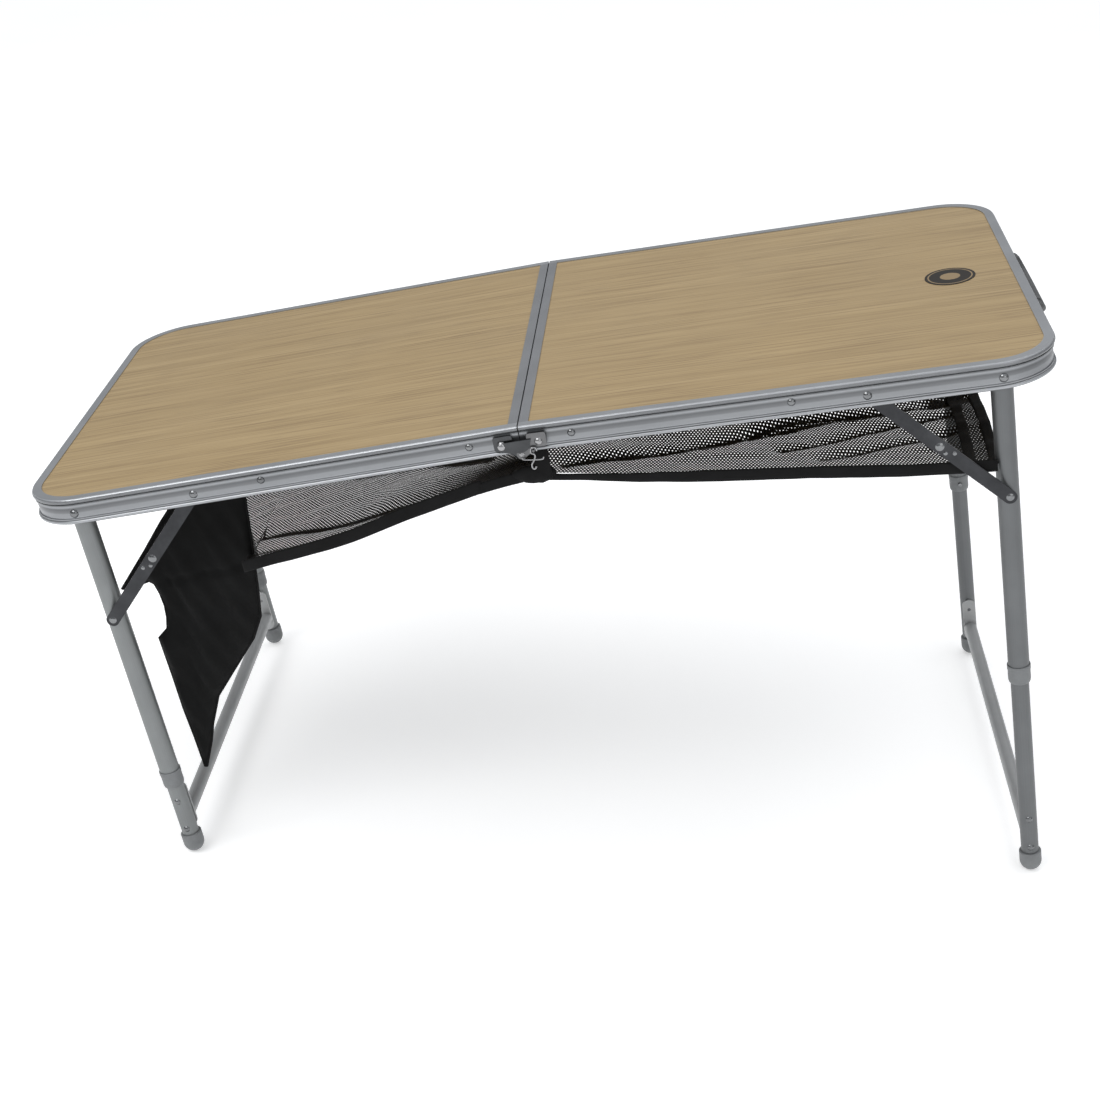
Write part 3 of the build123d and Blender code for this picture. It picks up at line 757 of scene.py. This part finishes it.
def net_pouch(face):
    """The soft bundle of folded cloth that the strap holds."""
    sign = FACE_SIGN[face]
    middle = HALF_WIDTH + sign * (HALF_WIDTH - STRAP_INSET) - POUCH_SETBACK * sign
    rings, around = 18, 20
    back, up = back_of("right"), AXES["right"][2]
    vertices, uvs = [], []
    for i in range(rings + 1):
        share = i / rings
        s = POUCH_START + POUCH_LENGTH * share
        swell = math.sin(math.pi * min(0.97, max(0.03, share))) ** 0.45
        height = POUCH_HEIGHT * swell * (0.75 + 0.25 * share)
        thick = POUCH_THICKNESS * swell
        centre = at("right", s, middle, POUCH_DEPTH + POUCH_FALL * share)
        for k in range(around):
            angle = 2 * math.pi * k / around
            crumple = 1 + 0.10 * noise.noise(Vector((s * 160, math.cos(angle) * 2, math.sin(angle) * 2)))
            vertices.append(centre + back * (math.cos(angle) * thick / 2 * crumple)
                            + up * (math.sin(angle) * height / 2 * crumple))
            uvs.append((s, angle * 0.004))
    faces = grid_faces(rings + 1, around, True)
    faces.append(tuple(range(around - 1, -1, -1)))
    faces.append(tuple(range(rings * around, (rings + 1) * around)))
    return make_piece(f"net_pouch_{face}", vertices, faces, "webbing", uvs)


for face in FACES:
    strap = net_strap(face)
    pouch = net_pouch(face)
    for piece in (strap, pouch):
        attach(piece, "right_half")
    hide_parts("net_straps")


# ---------------------------------------------------------------- the hanging bag

# (out from the hinge, depth below the top) round the bag, from its inner top corner to its tip and back
BAG_OUTLINE = [(0.345, 0.034), (0.348, 0.058), (0.355, 0.110), (0.359, 0.137), (0.365, 0.177),
               (0.372, 0.215), (0.389, 0.244), (0.425, 0.283), (0.456, 0.317), (0.474, 0.355),
               (0.483, 0.380), (0.500, 0.417), (0.503, 0.417), (0.504, 0.373), (0.506, 0.328),
               (0.506, 0.283), (0.507, 0.225), (0.493, 0.214), (0.489, 0.199), (0.487, 0.182),
               (0.488, 0.165), (0.491, 0.151), (0.497, 0.146), (0.506, 0.148), (0.515, 0.154),
               (0.533, 0.151), (0.489, 0.105), (0.459, 0.072), (0.444, 0.057), (0.421, 0.034)]
BAG_MIDDLE = 0.060        # the bag's middle plane, in from the front edge
BAG_GRID = 0.005
BAG_COLUMNS, BAG_ROWS = 40, 78
BINDING_THICKNESS = 0.0034


def rounded_outline(points, step):
    """The outline with points every step or so along each run."""
    made = []
    for (x0, d0), (x1, d1) in zip(points, points[1:] + points[:1]):
        pieces = max(1, round(math.hypot(x1 - x0, d1 - d0) / step))
        made += [(x0 + (x1 - x0) * i / pieces, d0 + (d1 - d0) * i / pieces) for i in range(pieces)]
    return made


bag_edge = rounded_outline(BAG_OUTLINE, BAG_GRID)


def edge_distance(x, depth):
    """How far a point is from the bag's edge."""
    return segment_distance(x, depth, BAG_OUTLINE + BAG_OUTLINE[:1])


def inside(x, depth):
    """True where a point lies within the bag's outline."""
    hits = 0
    for (x0, d0), (x1, d1) in zip(BAG_OUTLINE, BAG_OUTLINE[1:] + BAG_OUTLINE[:1]):
        if (d0 > depth) != (d1 > depth) and x < x0 + (x1 - x0) * (depth - d0) / (d1 - d0):
            hits += 1
    return hits % 2 == 1


grid_points = []
bag_corner_x, bag_corner_depth = BAG_OUTLINE[0]
for i in range(BAG_COLUMNS):
    for k in range(BAG_ROWS):
        x = bag_corner_x + BAG_GRID * (i + 0.5 * (k % 2))
        depth = bag_corner_depth + BAG_GRID * k
        if inside(x, depth) and edge_distance(x, depth) > 0.6 * BAG_GRID:
            grid_points.append((x, depth))
loop_indices = list(range(len(bag_edge)))
flat_points, _, flat_faces, *_ = geometry.delaunay_2d_cdt(
    [Vector(p) for p in bag_edge + grid_points],
    list(zip(loop_indices, loop_indices[1:] + loop_indices[:1])), [loop_indices], 1, 1e-6)


def bag_offset(x, depth, layer):
    """How far the cloth stands from the bag's middle: fullness, hanging folds and a sewn tuck."""
    inner = min(1.0, edge_distance(x, depth) / 0.030)
    fullness = math.sqrt(max(0.0, 1 - (1 - inner) ** 2))
    folds = 0.0028 * math.sin((x - 0.36) * 130 + 3.0 * math.sin(depth * 9))
    folds += 0.0018 * math.sin((x + depth * 0.35) * 260)
    slack = 0.006 * noise.noise(Vector((x * 22, depth * 10, 2.0 + layer)))
    tuck = -0.0035 * math.exp(-((depth - 0.143 - 0.05 * (x - 0.40)) / 0.004) ** 2)
    low = 0.35 + 0.65 * min(1.0, max(0.0, (depth - 0.04) / 0.10))
    return max(0.0, fullness * ((0.0068 + folds + slack) * low + tuck))


bag_vertices, bag_faces, bag_uvs = [], [], []
for layer, sign in ((0, -1), (1, 1)):
    base = len(bag_vertices)
    for x, depth in flat_points:
        stand = bag_offset(x, depth, layer) + 0.0007
        bag_vertices.append(at("left", x, BAG_MIDDLE + sign * stand, depth))
        bag_uvs.append((x, depth))
    for face in flat_faces:
        order = [index + base for index in face]
        bag_faces.append(tuple(order if sign < 0 else reversed(order)))
count = len(flat_points)
for a, b in zip(loop_indices, loop_indices[1:] + loop_indices[:1]):
    bag_faces.append((a, b, b + count, a + count))
side_bag = make_piece("bag_cloth_left", bag_vertices, bag_faces, "bag_cloth", bag_uvs)
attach(side_bag, "left_half")
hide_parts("side_bag")

bag_binding_path = [at("left", x, BAG_MIDDLE, d) for x, d in bag_edge + bag_edge[:1]]
binding = swept("bag_binding_left", bag_binding_path,
                lambda i: oval(BINDING_THICKNESS, BINDING_THICKNESS, 8, 1.0),
                lambda i: (back_of("left"), (AXES["left"][0] + AXES["left"][2]).normalized()),
                "webbing", closed_ends=False)
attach(binding, "left_half")
for piece in (side_bag, binding):
    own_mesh(piece)


# ---------------------------------------------------------------- the hinge's latch wires

def wire(name, points, radius, body):
    """A bent steel wire through the points."""
    curve = bpy.data.curves.new(name, "CURVE")
    curve.dimensions = "3D"
    curve.bevel_depth = radius
    curve.bevel_resolution = 4
    curve.resolution_u = 6
    curve.use_fill_caps = True
    spline = curve.splines.new("NURBS")
    spline.points.add(len(points) - 1)
    for point, place in zip(spline.points, points):
        point.co = (*place, 1)
    spline.order_u = 3
    spline.use_endpoint_u = True
    piece = bpy.data.objects.new(name, curve)
    bpy.context.scene.collection.objects.link(piece)
    curve.materials.append(MATERIALS["bright_steel"])
    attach(piece, body)
    return piece


# (out, up) from the hinge round the plate that covers it
HINGE_COVER = [(0.0250, 0.0175), (0.0252, 0.0100), (0.0215, 0.0065), (0.0110, 0.0030), (-0.0040, 0.0030),
               (-0.0105, 0.0065), (-0.0135, 0.0175)]
COVER_SEAT = 0.30615      # the plate's inner face, from the table's middle
COVER_THICKNESS = 0.0009
COVER_ROUNDING = 0.00035


def hinge_cover(face):
    """The flat plate with rounded edges that lies over the hinge, outside the rim."""
    name = f"hinge_cover_{face}"
    sign = FACE_SIGN[face]
    mesh = bpy.data.meshes.new(name)
    surface = bmesh.new()
    outward, _, up = AXES["left"]
    ring = [surface.verts.new(HINGE + outward * x + up * z + Vector((0, sign * COVER_SEAT, 0)))
            for x, z in HINGE_COVER]
    surface.faces.new(ring)
    moved = bmesh.ops.extrude_face_region(surface, geom=surface.faces[:])
    for element in moved["geom"]:
        if isinstance(element, bmesh.types.BMVert):
            element.co.y += sign * COVER_THICKNESS
    bmesh.ops.recalc_face_normals(surface, faces=surface.faces[:])
    bmesh.ops.bevel(surface, geom=surface.edges[:], offset=COVER_ROUNDING, segments=2, affect="EDGES",
                    clamp_overlap=True)
    surface.to_mesh(mesh)
    surface.free()
    piece = bpy.data.objects.new(name, mesh)
    bpy.context.scene.collection.objects.link(piece)
    mesh.materials.append(MATERIALS["hinge_steel"])
    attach(piece, "left_half")


def dome(name, side, face, place, seat, size, material, body):
    """A domed rivet head: place is (out, up) from the hinge, size is (radius, height)."""
    sign = FACE_SIGN[face]
    x, z = place
    radius, height = size
    outward, _, up = AXES[side]
    rings, around = 7, 28
    vertices = []
    for r in range(rings):
        lift = math.sin(math.pi / 2 * r / (rings - 1))
        spread = radius * max(0.02, math.cos(math.pi / 2 * r / (rings - 1)))
        centre = HINGE + outward * x + up * z + Vector((0, sign * (seat + height * lift), 0))
        for k in range(around):
            angle = 2 * math.pi * k / around
            vertices.append(centre + outward * (spread * math.cos(angle)) + up * (spread * math.sin(angle)))
    faces = grid_faces(rings, around, True) + [tuple(range((rings - 1) * around, rings * around))]
    piece = make_piece(name, vertices, faces, material)
    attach(piece, body)


for face in FACES:
    hinge_cover(face)
    dome(f"hinge_dome_{face}", "left", face, (0.0210, 0.0132), 0.30700, (0.0045, 0.0020), "bright_steel",
         "left_half")

# Two small stop rivets on each lower stay, just past its knee
STOP_PLACES = {"upper": (0.4775, -0.0715), "lower": (0.4675, -0.0700)}
for side in SIDES:
    for face in FACES:
        for name, place in STOP_PLACES.items():
            dome(f"stop_rivet_{name}_{face}_{side}", side, face, place, 0.2925, (0.0026, 0.0010),
                 "rivet_steel", f"{side}_lower_stays")


# (radius, depth below the top) down a leg's sleeve
SLEEVE_PROFILE = [(0.0126, 0.3925), (0.0131, 0.3920), (0.0137, 0.3924), (0.0138, 0.3935), (0.0138, 0.3980),
                  (0.0134, 0.3992), (0.0133, 0.4010), (0.0134, 0.4090), (0.0133, 0.4120), (0.0127, 0.4148),
                  (0.0119, 0.4158), (0.0110, 0.4160)]


def leg_sleeve(side, face):
    """A moulded sleeve round the leg joint: flared mouth, waist and tapered foot."""
    q = HALF_WIDTH + FACE_SIGN[face] * (HALF_WIDTH - LEG_INSET)
    outward, across, _ = AXES[side]
    around = 40
    vertices = []
    for radius, depth in SLEEVE_PROFILE:
        centre = at(side, LEG_X, q, depth)
        for k in range(around):
            angle = 2 * math.pi * k / around
            vertices.append(centre + outward * (radius * math.cos(angle))
                            + across * (radius * math.sin(angle)))
    return make_piece(f"leg_sleeve_{face}_{side}", vertices,
                      grid_faces(len(SLEEVE_PROFILE), around, True), "grey_plastic")


for side in SIDES:
    for face in FACES:
        sleeve = leg_sleeve(side, face)
        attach(sleeve, f"{side}_upper_legs")
        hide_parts(f"leg_collars_{side}")

# (right, up) from the hook's pivot: round the eye and down the hook, and along the bar across it
HOOK_BENDS = [(0.0034, 0.0), (0.0034, 0.0034), (0.0, 0.0036), (-0.0034, 0.0034), (-0.0034, -0.0034),
              (0.0, -0.0036), (0.0022, -0.006), (0.0006, -0.012), (-0.0026, -0.017), (-0.0010, -0.022),
              (0.0022, -0.0225), (0.0030, -0.0190)]
BAR_BENDS = [(-0.0130, -0.0085), (-0.0128, -0.0108), (-0.0090, -0.0112), (0.0, -0.0110),
             (0.0085, -0.0104), (0.0115, -0.0096), (0.0112, -0.0070)]
BAR_OUT = 0.0004          # the bar lies this far outside the hook
HOOK_RADIUS, BAR_RADIUS = 0.0010, 0.0008

for face in FACES:
    low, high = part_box(f"lock_link_{face}")
    pivot = Vector(joints[f"lock_link_{face}_swing"]["pos_m"])
    pivot.y = (low.y + high.y) / 2
    bar_y = FACE_SIGN[face] * BAR_OUT
    hook = wire(f"latch_hook_{face}", [pivot + Vector((dx, 0, dz)) for dx, dz in HOOK_BENDS],
                HOOK_RADIUS, f"lock_link_{face}")
    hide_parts(f"lock_link_{face}")
    wire(f"latch_bar_{face}", [pivot + Vector((dx, bar_y, dz)) for dx, dz in BAR_BENDS],
         BAR_RADIUS, f"lock_link_{face}")


# ---------------------------------------------------------------- stage, light and camera

floor_material, floor_tree, floor_shader = new_material("floor_pale")
floor_noise = noise_of(floor_tree, mapped(floor_tree, (2.0, 2.0, 2.0)), 1.0, 3.0)
link(floor_tree, ramp(floor_tree, floor_noise, [(0.3, 0.90), (0.7, 0.93)]),
     floor_shader.inputs["Base Color"])
floor_shader.inputs["Roughness"].default_value = 0.9
floor_shader.inputs["Emission Color"].default_value = (1, 1, 1, 1)
floor_shader.inputs["Emission Strength"].default_value = 0.38
floor_mesh = bpy.data.meshes.new("floor")
reach = 14.0
floor_mesh.from_pydata([(-reach, -reach, 0), (reach, -reach, 0), (reach, reach, 0), (-reach, reach, 0)],
                       [], [(0, 1, 2, 3)])
floor = bpy.data.objects.new("floor", floor_mesh)
floor_mesh.materials.append(floor_material)
bpy.context.scene.collection.objects.link(floor)
floor.location.z = -0.0005

world = bpy.data.worlds.new("studio")
bpy.context.scene.world = world
world.use_nodes = True
sky = world.node_tree
sky_coords = node(sky, "ShaderNodeTexCoord")
sky_split = node(sky, "ShaderNodeSeparateXYZ")
link(sky, sky_coords.outputs["Generated"], sky_split.inputs[0])
sky_colour = ramp(sky, sky_split.outputs["Z"], [(0.0, (0.30, 0.305, 0.31)), (0.25, (0.42, 0.43, 0.44)),
                                               (0.75, (0.95, 0.97, 1.0))])
# The backdrop itself is pale: the gradient is only for what the metal reflects
seen = node(sky, "ShaderNodeLightPath").outputs["Is Camera Ray"]
backdrop = mix(sky, seen, sky_colour, (0.95, 0.96, 0.97))
link(sky, backdrop, sky.nodes["Background"].inputs["Color"])
sky.nodes["Background"].inputs["Strength"].default_value = 0.80


def area_light(name, location, target, size, power):
    lamp = bpy.data.lights.new(name, "AREA")
    lamp.shape = "RECTANGLE"
    lamp.size, lamp.size_y = size
    lamp.energy = power
    holder = bpy.data.objects.new(name, lamp)
    bpy.context.scene.collection.objects.link(holder)
    holder.location = location
    holder.rotation_mode = "QUATERNION"
    holder.rotation_quaternion = (Vector(target) - Vector(location)).to_track_quat("-Z", "Y")


area_light("key", (-1.6, -1.8, 2.8), (0, 0, 0.5), (2.2, 1.6), 42)
area_light("front_fill", (1.8, -3.2, 1.6), (0, 0, 0.4), (2.4, 1.8), 16)
area_light("top", (0.2, 0.6, 3.2), (0, 0, 0.5), (3.0, 2.0), 26)

camera_data = bpy.data.cameras.new("camera")
camera = bpy.data.objects.new("camera", camera_data)
bpy.context.scene.collection.objects.link(camera)
camera_data.sensor_width = 36.0
camera_data.lens = 62.03
camera_data.shift_x = 0.0247
camera_data.shift_y = 0.0426
camera_data.clip_end = 60.0
camera.rotation_mode = "QUATERNION"
heading, dip, roll = math.radians(4.891), math.radians(27.70), math.radians(-1.573)
turned = (Matrix.Rotation(heading, 3, "Z") @ Matrix.Rotation(math.pi / 2 - dip, 3, "X")
          @ Matrix.Rotation(roll, 3, "Z"))
camera.rotation_quaternion = turned.to_quaternion()
camera.location = (0.1443, -2.2650, 1.4234)
bpy.context.scene.camera = camera
bpy.context.scene.view_settings.view_transform = "Standard"

bpy.context.view_layer.update()
